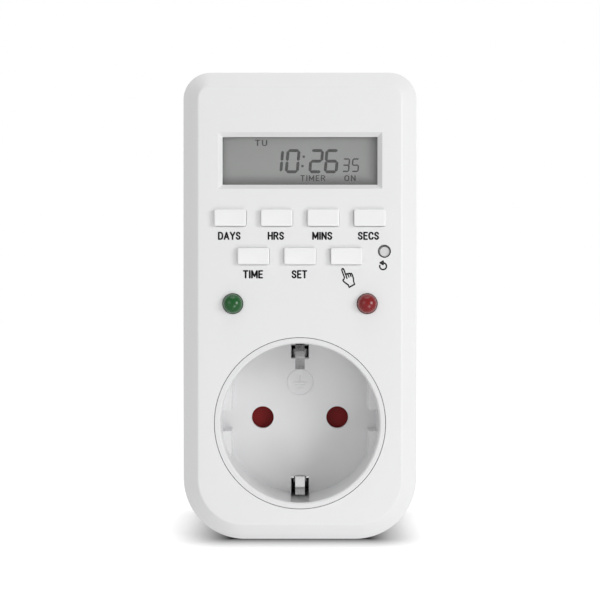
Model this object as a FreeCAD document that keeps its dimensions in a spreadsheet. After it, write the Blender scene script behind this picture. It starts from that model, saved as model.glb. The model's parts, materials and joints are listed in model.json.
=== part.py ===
import FreeCAD, Part
import math
import os

import Sketcher

# Plug-in digital timer switch, in millimetres.
# X points to the viewer's right, Y points to the back, Z points up and is 0 at the foot.
# Depths are counted from the flat front face.

sizes = {
    # housing
    "body_width": 57.0,
    "body_depth": 42.0,
    "upper_corner_radius": 6.6,
    "lower_corner_radius": 15.0,
    "slope_width": 3.8,
    "slope_depth": 3.0,
    "front_edge_radius": 0.9,
    "back_edge_radius": 1.6,
    "wall": 2.0,
    "cover_depth": 12.0,
    "seam_gap": 0.2,
    "tongue_height": 1.6,
    "tongue_thickness": 0.9,
    "tongue_root": 0.3,
    "link_opening_side": 7.0,
    "link_opening_rise": 10.0,
    "part_clearance": 0.15,
    # outlet well
    "outlet_height": 28.5,
    "well_radius": 19.35,
    "well_wall": 1.35,
    "well_lip_radius": 0.6,
    "well_depth": 17.5,
    "well_floor": 2.0,
    "well_flange_width": 2.0,
    "well_flange_thickness": 2.0,
    "pin_pitch": 19.0,
    "pin_hole_radius": 2.8,
    "guide_reach": 17.05,
    "guide_start_depth": 7.7,
    "guide_notch_height": 5.3,
    "earth_slot_width": 4.5,
    "earth_slot_inner_radius": 15.0,
    "earth_slot_start_depth": 1.5,
    # shutter and its cover
    "shutter_post_radius": 1.6,
    "shutter_running_gap": 0.06,
    "shutter_side_gap": 0.3,
    "shutter_thickness": 2.1,
    "shutter_hub_radius": 4.0,
    "shutter_hub_thickness": 1.0,
    "shutter_inner_radius": 6.0,
    "shutter_outer_radius": 12.9,
    "shutter_half_angle": 20.0,
    "shutter_room_radius": 14.0,
    "shutter_cover_wall": 1.4,
    "shutter_cover_floor": 1.2,
    "cover_hole_gap": 0.2,
    "spring_wire": 0.3,
    "spring_radius": 2.6,
    # contacts
    "strip_thickness": 0.6,
    "strip_bend_radius": 0.8,
    "contact_back_gap": 0.85,
    "contact_block_radius": 19.3,
    "contact_block_half_height": 15.0,
    "contact_bore": 2.45,
    "contact_wall": 0.6,
    "contact_end_gap": 0.8,
    "contact_slit": 0.8,
    "contact_room": 0.2,
    "contact_inset": 0.5,
    "contact_collar": 3.0,
    "tail_width": 3.0,
    "tail_drop": 1.5,
    "tail_room_drop": 2.0,
    "link_width": 4.0,
    "link_drop": 2.5,
    "link_rise": 2.0,
    "neutral_tab_width": 2.0,
    "earth_link_gap": 0.4,
    "earth_link_thickness": 0.8,
    "earth_base_width": 3.3,
    "earth_finger_width": 2.3,
    "earth_strap_radius": 18.3,
    "earth_strap_depth": 15.2,
    "earth_knee_radius": 13.1,
    "earth_knee_depth": 3.7,
    "earth_bend_radius": 15.9,
    "earth_tip_radius": 17.2,
    "earth_tip_depth": 1.2,
    # plug
    "plug_length": 17.0,
    "plug_radius": 18.45,
    "plug_side_reach": 16.6,
    "plug_rib_height": 4.6,
    "plug_rib_reach": 18.2,
    "plug_bevel": 1.0,
    "plug_flange_radius": 20.7,
    "plug_flange_thickness": 1.5,
    "plug_pin_radius": 2.4,
    "plug_pin_shank_radius": 2.2,
    "plug_pin_length": 19.0,
    "plug_pin_tip": 1.2,
    "plug_pin_fit": 0.05,
    "plug_pin_head_radius": 3.9,
    "plug_pin_head": 1.3,
    "plug_earth_width": 5.4,
    "plug_earth_radius": 17.4,
    "plug_earth_reach": 13.5,
    # display
    "display_rise": 13.95,
    "display_to_top": 21.75,
    "display_margin": 8.55,
    "display_opening_height": 13.8,
    "display_slope": 1.1,
    "display_slope_depth": 1.2,
    "window_margin": 0.9,
    "window_thickness": 1.0,
    "display_glass_margin": 1.05,
    "display_glass_ledge": 1.9,
    "display_glass_thickness": 2.0,
    "display_glass_depth": 2.7,
    "holder_margin": 1.1,
    "zebra_inset": 3.0,
    "zebra_thickness": 2.0,
    # keys
    "key_width": 7.5,
    "key_height": 3.85,
    "key_corner_radius": 0.45,
    "key_gap": 0.2,
    "key_proud": 1.2,
    "key_edge_radius": 0.35,
    "key_flange": 0.6,
    "key_flange_thickness": 0.8,
    "key_back_gap": 0.3,
    "key_stem_radius": 1.1,
    "key_stem_depth": 4.0,
    "key_travel": 0.8,
    "key_margin": 7.845,
    "lower_key_rise": 11.5,
    "upper_key_rise": 9.3,
    "dome_base_radius": 2.5,
    "dome_top_radius": 1.5,
    "mat_thickness": 0.8,
    "mat_side_margin": 1.0,
    "mat_foot_margin": 1.5,
    "mat_top_margin": 0.2,
    "mat_reset_room": 3.375,
    "dome_gap": 0.1,
    # reset plunger and lamps
    "reset_margin": 8.03,
    "reset_rise": 1.23,
    "reset_hole_radius": 1.6,
    "reset_plunger_radius": 1.4,
    "reset_recess": 0.6,
    "reset_flange_radius": 2.2,
    "reset_stem_depth": 4.6,
    "reset_switch_size": 4.5,
    "reset_switch_thickness": 1.6,
    "reset_knob_radius": 0.98,
    "reset_switch_gap": 0.05,
    "reset_travel": 0.6,
    "lamp_rise": 29.0,
    "lamp_margin": 12.2,
    "lamp_radius": 2.4,
    "lamp_hole_gap": 0.15,
    "lamp_flange_radius": 2.9,
    "lamp_flange_thickness": 1.0,
    "lamp_lead_radius": 0.25,
    # boards and what they carry
    "board_gap": 0.7,
    "board_thickness": 1.2,
    "control_board_depth": 7.0,
    "board_foot_gap": 1.8,
    "control_board_drop": 9.8,
    "control_post_rise": 4.5,
    "control_post_shift": 0.7,
    "power_board_from_back": 22.0,
    "power_board_inset": 1.0,
    "power_board_drop": 12.5,
    "board_post_radius": 2.1,
    "board_screw_radius": 0.95,
    "board_screw_head_radius": 1.8,
    "board_screw_head": 1.1,
    "board_screw_inset": 3.1,
    "board_screw_bite": 3.0,
    "post_bore_start": 1.0,
    "power_screw_reach": 6.0,
    "power_post_bore": 8.0,
    "controller_side": 10.0,
    "controller_thickness": 1.5,
    "crystal_radius": 1.0,
    "crystal_length": 6.0,
    "battery_radius": 7.8,
    "battery_thickness": 5.4,
    "battery_margin": 16.5,
    "battery_drop": 2.25,
    "battery_gap": 1.0,
    "clip_width": 4.0,
    "clip_foot_reach": 2.0,
    "controller_offset": 4.0,
    "crystal_offset": 1.0,
    "header_offset": 12.0,
    "header_drop": 8.0,
    "header_pin_pitch": 2.54,
    "header_pin_radius": 0.32,
    "header_pins": 6.0,
    "relay_offset": -1.0,
    "relay_rise": 4.5,
    "relay_width": 19.0,
    "relay_height": 15.4,
    "relay_length": 15.6,
    "film_gap": 1.2,
    "film_rise": 6.5,
    "film_width": 18.0,
    "film_height": 8.6,
    "film_length": 14.5,
    "electrolytic_radius": 4.0,
    "electrolytic_length": 11.5,
    "electrolytic_gap": 0.8,
    "row_gap": 1.5,
    "diode_radius": 1.3,
    "diode_length": 5.0,
    "diode_inset": 2.0,
    "diode_rise": 2.5,
    "diode_gap": 1.2,
    "resistor_radius": 2.2,
    "resistor_length": 12.0,
    "resistor_inset": 3.0,
    "varistor_radius": 5.0,
    "varistor_thickness": 3.6,
    "varistor_inset": 3.0,
    "varistor_gap": 1.0,
    "fuse_radius": 2.6,
    "fuse_length": 18.0,
    "fuse_gap": 2.0,
    "solder_gap": 0.2,
    # housing screws
    "boss_radius": 2.8,
    "screw_post_radius": 4.0,
    "screw_radius": 1.4,
    "screw_hole_gap": 0.15,
    "screw_head_radius": 2.6,
    "screw_head": 1.8,
    "screw_sink": 4.0,
    "screw_drive_radius": 1.17,
    "screw_end_depth": 5.0,
    "upper_screw_margin": 6.5,
    "upper_screw_drop": 7.0,
    "lower_screw_margin": 8.5,
    "lower_screw_rise": 8.0,
}


class Size:
    # A length that carries its number and the sheet formula that gives it.

    def __init__(self, number, formula):
        self.number = number
        self.formula = formula

    def __add__(self, other):
        return Size(self.number + number(other), f"({self.formula} + {formula(other)})")

    def __radd__(self, other):
        return Size(number(other) + self.number, f"({formula(other)} + {self.formula})")

    def __sub__(self, other):
        return Size(self.number - number(other), f"({self.formula} - {formula(other)})")

    def __rsub__(self, other):
        return Size(number(other) - self.number, f"({formula(other)} - {self.formula})")

    def __mul__(self, other):
        return Size(self.number * number(other), f"({self.formula} * {formula(other)})")

    def __rmul__(self, other):
        return self * other

    def __truediv__(self, other):
        return Size(self.number / number(other), f"({self.formula} / {formula(other)})")

    def __neg__(self):
        return Size(-self.number, f"(0 - {self.formula})")


def number(value):
    return value.number if isinstance(value, Size) else float(value)


def formula(value):
    return value.formula if isinstance(value, Size) else f"({float(value)!r})"


doc = FreeCAD.newDocument("timer_switch")
sheet = doc.addObject("Spreadsheet::Sheet", "Sizes")
for row, (alias, value) in enumerate(sizes.items(), 1):
    sheet.set(f"A{row}", alias)
    sheet.set(f"B{row}", str(value))
    sheet.setAlias(f"B{row}", alias)
doc.recompute()


class SheetSizes:
    # Every cell of the sheet, by its alias.

    def __getattr__(self, alias):
        return Size(float(getattr(sheet, alias)), f"Sizes.{alias}")


size = SheetSizes()

# Heights stack up from the outlet, and places across count from the sides.
size.lamp_height = size.outlet_height + size.lamp_rise
size.lower_key_height = size.lamp_height + size.lower_key_rise
size.upper_key_height = size.lower_key_height + size.upper_key_rise
size.display_height = size.upper_key_height + size.display_rise
size.body_height = size.display_height + size.display_to_top
size.reset_height = size.lower_key_height + size.reset_rise
size.upper_screw_height = size.body_height - size.upper_screw_drop
size.lower_screw_height = size.lower_screw_rise
size.battery_height = size.display_height - size.battery_drop
size.display_opening_width = size.body_width - size.display_margin * 2
size.display_glass_width = size.display_opening_width + size.display_glass_margin * 2
size.display_glass_height = size.display_opening_height + size.display_glass_ledge * 2
size.zebra_width = size.display_glass_width - size.zebra_inset * 2
size.key_pitch = (size.body_width - size.key_margin * 2 - size.key_width) / 3
size.lamp_offset = size.body_width / 2 - size.lamp_margin
size.reset_offset = size.body_width / 2 - size.reset_margin
size.upper_screw_offset = size.body_width / 2 - size.upper_screw_margin
size.lower_screw_offset = size.body_width / 2 - size.lower_screw_margin
size.control_board_foot = (size.outlet_height + size.well_radius + size.well_wall
                           + size.well_flange_width + size.board_foot_gap)
size.control_board_top = size.body_height - size.control_board_drop
size.power_board_foot = size.control_board_foot + size.power_board_inset
size.power_board_top = size.body_height - size.power_board_drop
size.power_board_depth = size.body_depth - size.power_board_from_back
size.battery_offset = size.battery_margin - size.body_width / 2

nothing = size.wall * 0
overrun = 1.0  # how far a cutting tool passes the face that it opens
root = 0.5  # how deep a joined part enters its neighbour
pieces = {}


def piece(thing, label):
    thing.Label = label
    pieces[label] = thing
    return thing


def bind(thing, path, value):
    if isinstance(value, Size):
        thing.setExpression(path, value.formula)
    elif "." not in path:
        setattr(thing, path, value)


def place(thing, x, y, z, turn=None):
    base = FreeCAD.Vector(number(x), number(y), number(z))
    thing.Placement = FreeCAD.Placement(base, turn or FreeCAD.Rotation())
    for axis, value in zip("xyz", (x, y, z)):
        bind(thing, f"Placement.Base.{axis}", value)
    return thing


turn_along = {
    "x": FreeCAD.Rotation(FreeCAD.Vector(0, 1, 0), 90),
    "y": FreeCAD.Rotation(FreeCAD.Vector(1, 0, 0), -90),
    "z": FreeCAD.Rotation(),
}


def box(name, x, y, z):
    # x, y and z are (low, high) pairs
    block = doc.addObject("Part::Box", name)
    for path, (low, high) in zip(("Length", "Width", "Height"), (x, y, z)):
        bind(block, path, high - low)
    return place(block, x[0], y[0], z[0])


def along(x, y, z):
    # the one coordinate that is a (low, high) pair gives the axis
    spans = {axis: value for axis, value in zip("xyz", (x, y, z)) if isinstance(value, tuple)}
    axis, (low, high) = next(iter(spans.items()))
    start = [value[0] if isinstance(value, tuple) else value for value in (x, y, z)]
    return axis, high - low, start


def rod(name, radius, x, y, z):
    axis, length, start = along(x, y, z)
    cylinder = doc.addObject("Part::Cylinder", name)
    bind(cylinder, "Radius", radius)
    bind(cylinder, "Height", length)
    return place(cylinder, *start, turn_along[axis])


def taper(name, near_radius, far_radius, x, y, z):
    axis, length, start = along(x, y, z)
    cone = doc.addObject("Part::Cone", name)
    bind(cone, "Radius1", near_radius)
    bind(cone, "Radius2", far_radius)
    bind(cone, "Height", length)
    return place(cone, *start, turn_along[axis])


def ball(name, radius, x, y, z):
    sphere = doc.addObject("Part::Sphere", name)
    bind(sphere, "Radius", radius)
    return place(sphere, x, y, z)


def fuse(name, *parts):
    joined = doc.addObject("Part::MultiFuse", name)
    joined.Shapes = list(parts)
    return joined


def cut(name, base, *tools):
    result = doc.addObject("Part::Cut", name)
    result.Base = base
    result.Tool = tools[0] if len(tools) == 1 else fuse(name + "_tools", *tools)
    return result


def common(name, base, tool):
    result = doc.addObject("Part::Common", name)
    result.Base = base
    result.Tool = tool
    return result


def group(name, *parts):
    together = doc.addObject("Part::Compound", name)
    together.Links = list(parts)
    return together


def sketch_in(body, role, name):
    sketch = body.newObject("Sketcher::SketchObject", name)
    plane = next(item for item in body.Origin.OriginFeatures if item.Role == role)
    sketch.AttachmentSupport = [(plane, "")]
    sketch.MapMode = "FlatFace"
    return sketch


def polygon(sketch, points):
    corners = [FreeCAD.Vector(number(across), number(up), 0) for across, up in points]
    count = len(points)
    for index in range(count):
        line = Part.LineSegment(corners[index], corners[(index + 1) % count])
        sketch.addGeometry(line, False)
    for index in range(count):
        joint = Sketcher.Constraint("Coincident", index, 2, (index + 1) % count, 1)
        sketch.addConstraint(joint)
    for index, point in enumerate(points):
        for kind, value in zip(("DistanceX", "DistanceY"), point):
            limit = Sketcher.Constraint(kind, -1, 1, index, 1, number(value))
            place_in_list = sketch.addConstraint(limit)
            bind(sketch, f"Constraints[{place_in_list}]", value)


def edges_where(feature, test):
    return [f"Edge{n}" for n, edge in enumerate(feature.Shape.Edges, 1) if test(edge)]


def runs_along_y(edge):
    first, last = edge.Vertexes[0].Point, edge.Vertexes[-1].Point
    across = math.hypot(first.x - last.x, first.z - last.z)
    return across < 1e-6 < abs(first.y - last.y)


def lies_at_y(y):
    return lambda edge: all(abs(v.Point.y - number(y)) < 1e-6 for v in edge.Vertexes)


def rounded(body, feature, name, radius, test):
    fillet = body.newObject("PartDesign::Fillet", name)
    fillet.Base = (feature, edges_where(feature, test))
    bind(fillet, "Radius", radius)
    doc.recompute()
    return fillet


def moulding(name, x, y, z, lower_radius, upper_radius):
    # A block between y[0] and y[1] whose four corners, seen from the front, are rounded.
    body = doc.addObject("PartDesign::Body", name)
    outline = sketch_in(body, "XZ_Plane", name + "_outline")
    polygon(outline, [(x[0], z[0]), (x[1], z[0]), (x[1], z[1]), (x[0], z[1])])
    bind(outline, "AttachmentOffset.Base.z", -y[1])
    pad = body.newObject("PartDesign::Pad", name + "_pad")
    pad.Profile = outline
    bind(pad, "Length", y[1] - y[0])
    doc.recompute()
    middle = (number(z[0]) + number(z[1])) / 2
    low = rounded(body, pad, name + "_lower", lower_radius,
                  lambda edge: runs_along_y(edge) and edge.Vertexes[0].Point.z < middle)
    high = rounded(body, low, name + "_upper", upper_radius,
                   lambda edge: runs_along_y(edge) and edge.Vertexes[0].Point.z > middle
                   and abs(abs(edge.Vertexes[0].Point.x - number(x[0] + x[1]) / 2)
                           - number(x[1] - x[0]) / 2) < 1e-6)
    body.Tip = high
    return body, high


def sloped_front(body, feature, name, width, depth, y):
    chamfer = body.newObject("PartDesign::Chamfer", name)
    chamfer.Base = (feature, edges_where(feature, lies_at_y(y)))
    chamfer.ChamferType = "Two distances"
    bind(chamfer, "Size", width)
    bind(chamfer, "Size2", depth)
    chamfer.FlipDirection = True
    doc.recompute()
    flat = [face for face in chamfer.Shape.Faces
            if abs(face.BoundBox.YMax - number(y)) < 1e-6 and face.BoundBox.YLength < 1e-6]
    lost = chamfer.Shape.BoundBox.XLength - flat[0].BoundBox.XLength
    if abs(lost - 2 * number(width)) > 1e-6:
        raise ValueError("the slope is turned the wrong way")
    body.Tip = chamfer
    return chamfer


def turned(name, x, z, profile):
    # A profile of (depth, radius) points turned about an axis along Y through (x, z).
    body = doc.addObject("PartDesign::Body", name)
    sketch = sketch_in(body, "YZ_Plane", name + "_profile")
    polygon(sketch, profile)
    turn = body.newObject("PartDesign::Revolution", name + "_turn")
    turn.Profile = sketch
    turn.ReferenceAxis = (sketch, ["H_Axis"])
    turn.Angle = 360
    place(body, x, 0, z)
    doc.recompute()
    return body


def bent_path(points, radius):
    # straight runs through (y, z) points, joined by arcs
    corners = [FreeCAD.Vector(0, number(y), number(z)) for y, z in points]
    edges, start = [], corners[0]
    for before, corner, after in zip(corners, corners[1:], corners[2:]):
        back, ahead = (before - corner).normalize(), (after - corner).normalize()
        half = back.getAngle(ahead) / 2
        reach = radius / math.tan(half)
        enter, leave = corner + back * reach, corner + ahead * reach
        middle = corner + (back + ahead).normalize() * (radius / math.sin(half) - radius)
        edges += [Part.LineSegment(start, enter).toShape(), Part.Arc(enter, middle, leave).toShape()]
        start = leave
    edges.append(Part.LineSegment(start, corners[-1]).toShape())
    return Part.Wire(edges)


def strip_shape(points, thickness, width, radius):
    path = bent_path(points, radius)
    face = path.makeOffset2D(thickness / 2, 0, True, False)
    return face.extrude(FreeCAD.Vector(width, 0, 0))


def strip(name, x, points):
    # a flat strip bent in the YZ plane, between x[0] and x[1]
    width = number(x[1] - x[0])
    bar = doc.addObject("Part::Feature", name)
    bar.Shape = strip_shape(points, size.strip_thickness.number, width,
                            size.strip_bend_radius.number)
    bar.Placement = FreeCAD.Placement(FreeCAD.Vector(number(x[0]), 0, 0), FreeCAD.Rotation())
    return bar


# Places that several pieces share

overall_depth = size.lamp_radius + size.body_depth + size.plug_length + size.plug_pin_length
front = size.lamp_radius - overall_depth / 2
half_width = size.body_width / 2


def depth(distance):
    # the Y of a depth behind the flat front face
    return front + distance


cover_inside = depth(size.wall)
split = depth(size.cover_depth)
back = depth(size.body_depth)
back_inside = back - size.wall
flange_front = cover_inside + size.key_back_gap
outlet_z = size.outlet_height
pin_x = size.pin_pitch / 2
sides = (-1, 1)

well_floor_front = depth(size.well_depth)
well_floor_back = well_floor_front + size.well_floor
well_outer = size.well_radius + size.well_wall
well_hole = well_outer + size.part_clearance
flange_radius = well_outer + size.well_flange_width
flange_back = cover_inside + size.well_flange_thickness

shutter_front = well_floor_back + size.shutter_side_gap
shutter_back = shutter_front + size.shutter_thickness
shutter_cover_inside = shutter_back + size.shutter_side_gap + size.part_clearance
shutter_cover_back = shutter_cover_inside + size.shutter_cover_floor
shutter_cover_radius = size.shutter_room_radius + size.shutter_cover_wall

strap_middle = shutter_cover_back + size.part_clearance + size.strip_thickness / 2
block_front = strap_middle + size.strip_thickness / 2 + size.part_clearance

plug_flange_front = back_inside - size.plug_flange_thickness
pin_head_front = plug_flange_front - size.plug_pin_head
plug_face = back + size.plug_length
pin_end = plug_face + size.plug_pin_length
link_middle = pin_head_front - size.strip_thickness / 2
link_front = link_middle - size.strip_thickness / 2
plug_earth_end = back + size.plug_earth_reach

block_back = link_front - size.contact_back_gap
contact_front = block_front + size.contact_inset
contact_back = block_back - size.contact_end_gap
sleeve_outer = size.contact_bore + size.contact_wall
tail_x = (-pin_x - sleeve_outer - size.tail_width, -pin_x - sleeve_outer)
tail_y = (block_front + block_back) / 2

control_board = (depth(size.control_board_depth),
                 depth(size.control_board_depth) + size.board_thickness)
power_board = (depth(size.power_board_depth),
               depth(size.power_board_depth) + size.board_thickness)
board_half = half_width - size.wall - size.board_gap

upper_keys = {
    "button_week": -1.5,
    "button_hour": -0.5,
    "button_minute": 0.5,
    "button_second": 1.5,
}
lower_keys = {
    "button_clock": -1.0,
    "button_program": 0.0,
    "button_manual": 1.0,
}
key_places = {name: (size.key_pitch * step, size.upper_key_height)
              for name, step in upper_keys.items()}
key_places.update({name: (size.key_pitch * step, size.lower_key_height)
                   for name, step in lower_keys.items()})

housing_screw_places = [(size.upper_screw_offset * side, size.upper_screw_height) for side in sides]
housing_screw_places += [(size.lower_screw_offset * side, size.lower_screw_height) for side in sides]

control_screw_x = board_half - size.board_screw_inset + size.control_post_shift
control_screw_places = [(control_screw_x * side, height) for side in sides
                        for height in (size.upper_key_height,
                                       size.lamp_height + size.control_post_rise)]
power_screw_x = board_half - size.board_screw_inset
power_screw_places = [(power_screw_x * side, height) for side in sides
                      for height in (size.power_board_foot + size.board_screw_inset,
                                     size.power_board_top - size.board_screw_inset)]


def pair(middle, half):
    return (middle - half, middle + half)


def housing_block(name, inset, y):
    x = (inset - half_width, half_width - inset)
    z = (nothing + inset, size.body_height - inset)
    return moulding(name, x, y, z, size.lower_corner_radius - inset,
                    size.upper_corner_radius - inset)


def make_front_cover():
    skin, skin_end = housing_block("cover_skin", nothing, (front, split))
    slope = sloped_front(skin, skin_end, "cover_slope", size.slope_width, size.slope_depth, front)
    skin.Tip = rounded(skin, slope, "cover_front_edge", size.front_edge_radius, lies_at_y(front))
    room, room_end = housing_block("cover_room", size.wall, (cover_inside, split + overrun))
    sloped_front(room, room_end, "cover_room_slope", size.slope_width - size.wall,
                 size.slope_depth * (1 - size.wall / size.slope_width) + size.part_clearance,
                 cover_inside)
    shell = cut("cover_shell", skin, room)
    bosses = [rod(f"cover_boss_{n}", size.boss_radius, x, (cover_inside - root, split), z)
              for n, (x, z) in enumerate(housing_screw_places, 1)]
    posts = [rod(f"board_post_{n}", size.board_post_radius, x,
                 (cover_inside - root, control_board[0]), z)
             for n, (x, z) in enumerate(control_screw_places, 1)]
    solid = fuse("cover_solid", shell, *bosses, *posts)

    tools = [rod("outlet_opening", well_hole, nothing, (front - overrun, split), outlet_z)]
    tools.append(display_slope("display_opening"))
    window_x = pair(nothing, size.display_opening_width / 2 - size.display_slope
                    + size.window_margin)
    window_z = pair(size.display_height, size.display_opening_height / 2 - size.display_slope
                    + size.window_margin)
    tools.append(box("window_seat", window_x, (depth(size.display_slope_depth),
                                            cover_inside + root), window_z))
    through = (front - overrun, cover_inside + root)
    for name, (x, z) in key_places.items():
        hole, _ = moulding(name + "_hole", pair(x, size.key_width / 2 + size.key_gap),
                           through,
                           pair(z, size.key_height / 2 + size.key_gap),
                           size.key_corner_radius + size.key_gap,
                           size.key_corner_radius + size.key_gap)
        tools.append(hole)
    tools.append(rod("reset_hole", size.reset_hole_radius, size.reset_offset, through,
                     size.reset_height))
    for side in sides:
        tools.append(rod(f"lamp_hole_{side + 1}", size.lamp_radius + size.lamp_hole_gap,
                         size.lamp_offset * side, through, size.lamp_height))
    for n, (x, z) in enumerate(housing_screw_places, 1):
        tools.append(rod(f"boss_bore_{n}", size.screw_radius + size.screw_hole_gap, x,
                         (cover_inside + size.wall, split + overrun), z))
    for n, (x, z) in enumerate(control_screw_places, 1):
        tools.append(rod(f"post_bore_{n}", size.board_screw_radius + size.part_clearance, x,
                         (cover_inside + size.post_bore_start, control_board[0] + overrun), z))
    piece(cut("front_cover_shape", solid, *tools), "front_cover")


def display_slope(name):
    # the sloped frame of the display opening, wide at the front
    wedge = doc.addObject("Part::Wedge", name)
    extra = root
    slope = size.display_slope / size.display_slope_depth
    half_x = size.display_opening_width / 2
    half_z = size.display_opening_height / 2
    spans = {
        "Xmin": -half_x - slope * extra, "Xmax": half_x + slope * extra,
        "Zmin": -half_z - slope * extra, "Zmax": half_z + slope * extra,
        "X2min": -half_x + size.display_slope, "X2max": half_x - size.display_slope,
        "Z2min": -half_z + size.display_slope, "Z2max": half_z - size.display_slope,
        "Ymin": nothing, "Ymax": size.display_slope_depth + extra,
    }
    for path, value in spans.items():
        setattr(wedge, path, number(value))
    for path, value in spans.items():
        bind(wedge, path, value)
    return place(wedge, nothing, front - extra, size.display_height)


def make_rear_housing():
    skin, skin_end = housing_block("rear_skin", nothing, (split + size.seam_gap, back))
    skin.Tip = rounded(skin, skin_end, "rear_back_edge", size.back_edge_radius, lies_at_y(back))
    room, _ = housing_block("rear_room", size.wall, (split, back_inside))
    shell = cut("rear_shell", skin, room)
    edge, _ = housing_block("tongue_outside", size.wall + size.part_clearance,
                            (split - size.tongue_height, split + size.wall))
    hollow, _ = housing_block("tongue_inside", size.wall + size.part_clearance
                              + size.tongue_thickness,
                              (split - size.tongue_height - overrun, split + size.wall + overrun))
    carrier, _ = housing_block("tongue_root", size.wall - size.tongue_root,
                               (split + size.seam_gap, split + size.wall))
    tongue = cut("tongue", fuse("tongue_block", edge, carrier), hollow)
    posts = [rod(f"screw_post_{n}", size.screw_post_radius, x,
                 (split + size.seam_gap, back_inside + root), z)
             for n, (x, z) in enumerate(housing_screw_places, 1)]
    posts_in = common("screw_posts", fuse("screw_post_rods", *posts),
                      housing_block("post_limit", size.wall / 2, (split, back))[0])
    ring = cut("well_ring",
               rod("well_ring_outside", flange_radius, nothing,
                   (flange_back, back_inside + root), outlet_z),
               rod("well_ring_inside", flange_radius - size.well_wall, nothing,
                   (flange_back - overrun, back_inside + overrun), outlet_z))
    board_posts = [rod(f"power_post_{n}", size.board_post_radius, x,
                       (power_board[1], back_inside + root), z)
                   for n, (x, z) in enumerate(power_screw_places, 1)]
    solid = fuse("rear_solid", shell, tongue, posts_in, ring, *board_posts)
    tools = [rod("plug_opening", size.plug_radius + size.part_clearance, nothing,
                 (back_inside - overrun, back + overrun), outlet_z),
             box("link_opening", pair(nothing, pin_x + size.link_opening_side),
                 (well_floor_back, back_inside),
                 (outlet_z + size.link_opening_rise, outlet_z + flange_radius + overrun))]
    for n, (x, z) in enumerate(housing_screw_places, 1):
        tools.append(rod(f"screw_bore_{n}", size.screw_radius + size.screw_hole_gap, x,
                         (split - size.tongue_height - overrun, back + overrun), z))
        tools.append(rod(f"screw_sink_{n}", size.screw_head_radius + size.part_clearance, x,
                         (back - size.screw_sink, back + overrun), z))
        tools.append(rod(f"boss_room_{n}", size.boss_radius + size.part_clearance, x,
                         (split - size.tongue_height - overrun, split + size.seam_gap), z))
    for n, (x, z) in enumerate(power_screw_places, 1):
        tools.append(rod(f"power_post_bore_{n}", size.board_screw_radius + size.part_clearance, x,
                         (power_board[1] - overrun, power_board[1] + size.power_post_bore), z))
    piece(cut("rear_housing_shape", solid, *tools), "rear_housing")


def make_socket_insert():
    lip = size.well_lip_radius
    profile = [
        (front + lip / 2, size.well_radius),
        (front, size.well_radius + lip / 2),
        (front, well_outer),
        (cover_inside, well_outer),
        (cover_inside, flange_radius),
        (flange_back, flange_radius),
        (flange_back, well_outer),
        (well_floor_back, well_outer),
        (well_floor_back, nothing),
        (well_floor_front, nothing),
        (well_floor_front, size.well_radius),
    ]
    cup = turned("well_cup", nothing, outlet_z, profile)
    guide_front = depth(size.guide_start_depth)
    guides = cut("guide_blocks",
                 rod("guide_round", size.well_radius + size.well_wall / 2, nothing,
                     (guide_front, well_floor_front + root), outlet_z),
                 box("guide_middle", pair(nothing, size.guide_reach),
                     (guide_front - overrun, well_floor_front + overrun),
                     pair(outlet_z, well_outer)),
                 box("guide_notches", pair(nothing, well_outer),
                     (guide_front - overrun, well_floor_front + overrun),
                     pair(outlet_z, size.guide_notch_height / 2)))
    post = rod("shutter_post", size.shutter_post_radius, nothing,
               (well_floor_front + root, shutter_cover_inside - size.part_clearance), outlet_z)
    tools = [rod(f"pin_hole_{side + 1}", size.pin_hole_radius, pin_x * side,
                 (well_floor_front - overrun, well_floor_back + overrun), outlet_z)
             for side in sides]
    slot_inner = size.earth_slot_inner_radius
    slot_outer = size.well_radius + size.well_wall * 0.6
    for name, low, high in (("upper", outlet_z + slot_inner, outlet_z + slot_outer),
                            ("lower", outlet_z - slot_outer, outlet_z - slot_inner)):
        tools.append(box(name + "_earth_slot", pair(nothing, size.earth_slot_width / 2),
                         (depth(size.earth_slot_start_depth), well_floor_back + overrun),
                         (low, high)))
    piece(cut("socket_insert_shape", fuse("well_solid", cup, guides, post), *tools),
          "socket_insert")


def sector_wire(half_angle, radius, y, middle_angle):
    # a pie slice in the XZ plane
    centre = FreeCAD.Vector(0, y, 0)

    def at(angle):
        turn = math.radians(angle)
        return FreeCAD.Vector(radius * math.cos(turn), y, radius * math.sin(turn))

    arc = Part.Arc(at(middle_angle - half_angle), at(middle_angle), at(middle_angle + half_angle))
    return Part.Wire([
        Part.LineSegment(centre, at(middle_angle - half_angle)).toShape(),
        arc.toShape(),
        Part.LineSegment(at(middle_angle + half_angle), centre).toShape(),
    ])


def make_shutter():
    wings = doc.addObject("Part::Feature", "shutter_wings")
    thickness = size.shutter_thickness.number
    slices = [Part.Face(sector_wire(size.shutter_half_angle.number,
                                    size.shutter_outer_radius.number, 0, middle))
              .extrude(FreeCAD.Vector(0, thickness, 0)) for middle in (0, 180)]
    wings.Shape = slices[0].fuse(slices[1:])
    wings.Placement = FreeCAD.Placement(
        FreeCAD.Vector(0, number(shutter_front), number(outlet_z)), FreeCAD.Rotation())
    hub_back = shutter_front + size.shutter_hub_thickness
    hub = rod("shutter_hub", size.shutter_hub_radius, nothing, (shutter_front, hub_back), outlet_z)
    bore = rod("shutter_bore", size.shutter_post_radius + size.shutter_running_gap, nothing,
               (shutter_front - overrun, shutter_back + overrun), outlet_z)
    spring_room = rod("spring_room", size.shutter_hub_radius, nothing,
                      (hub_back, shutter_back + overrun), outlet_z)
    piece(cut("shutter_shape", fuse("shutter_solid", wings, hub), bore, spring_room), "shutter")


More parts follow.
